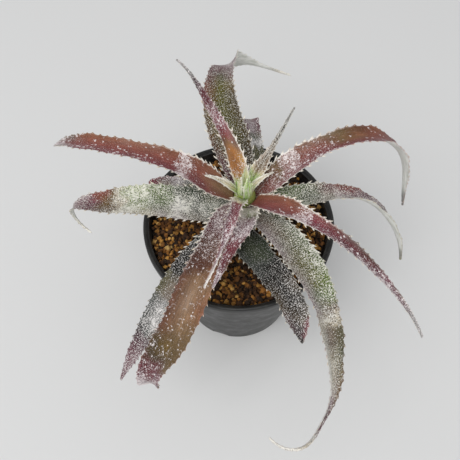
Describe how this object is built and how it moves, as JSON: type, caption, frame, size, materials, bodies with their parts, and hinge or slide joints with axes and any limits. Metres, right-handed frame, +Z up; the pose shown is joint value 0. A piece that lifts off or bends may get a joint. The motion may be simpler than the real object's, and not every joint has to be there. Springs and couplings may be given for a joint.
{
  "type": "potted orthophytum hybrid",
  "caption": "Rosette of narrow, toothed, scurfy bromeliad leaves that arch out and down from a short stem, rooted in baked-clay granules in a plain round plastic nursery pot.",
  "frame": {"origin": "centre of the pot's underside, on the surface it stands on", "axes": "+Z up, +X to the right and +Y away, as seen from the pictured side"},
  "size_m": [0.192, 0.2239, 0.1475],
  "materials": {
    "pot": "moulded, satin, dark grey",
    "soil": "loose baked-clay granules, matte, brown and ochre",
    "stem": "dry leaf bases, matte",
    "leaf_grey": "old leaf, matte, densely scurfed grey",
    "leaf_green": "leaf, semi-matte, green under silver scurf",
    "leaf_brown": "leaf, semi-gloss, olive brown with red margins",
    "leaf_red": "leaf, semi-gloss, crimson brown with white scurf",
    "leaf_young": "young leaf, semi-matte, pale green"
  },
  "bodies": {
    "root": {"pot": "pot", "soil": "soil", "stem": "stem", "leaf_front_dark": "leaf_grey", "leaf_left_old": "leaf_grey", "leaf_front_grey": "leaf_grey", "leaf_back_old": "leaf_grey", "leaf_left_green": "leaf_green", "leaf_right_green": "leaf_green", "leaf_right_long": "leaf_green", "leaf_back_green": "leaf_green", "leaf_front_brown": "leaf_brown", "leaf_upper_red": "leaf_red", "leaf_front_red": "leaf_red", "leaf_left_red": "leaf_red", "leaf_right_red": "leaf_red", "leaf_back_orange": "leaf_brown", "leaf_back_young": "leaf_young", "leaf_front_narrow": "leaf_red", "leaf_inner_left": "leaf_young", "leaf_inner_right": "leaf_young", "leaf_core_left": "leaf_young", "leaf_core_right": "leaf_young", "leaf_centre": "leaf_young"}
  },
  "joints": []
}
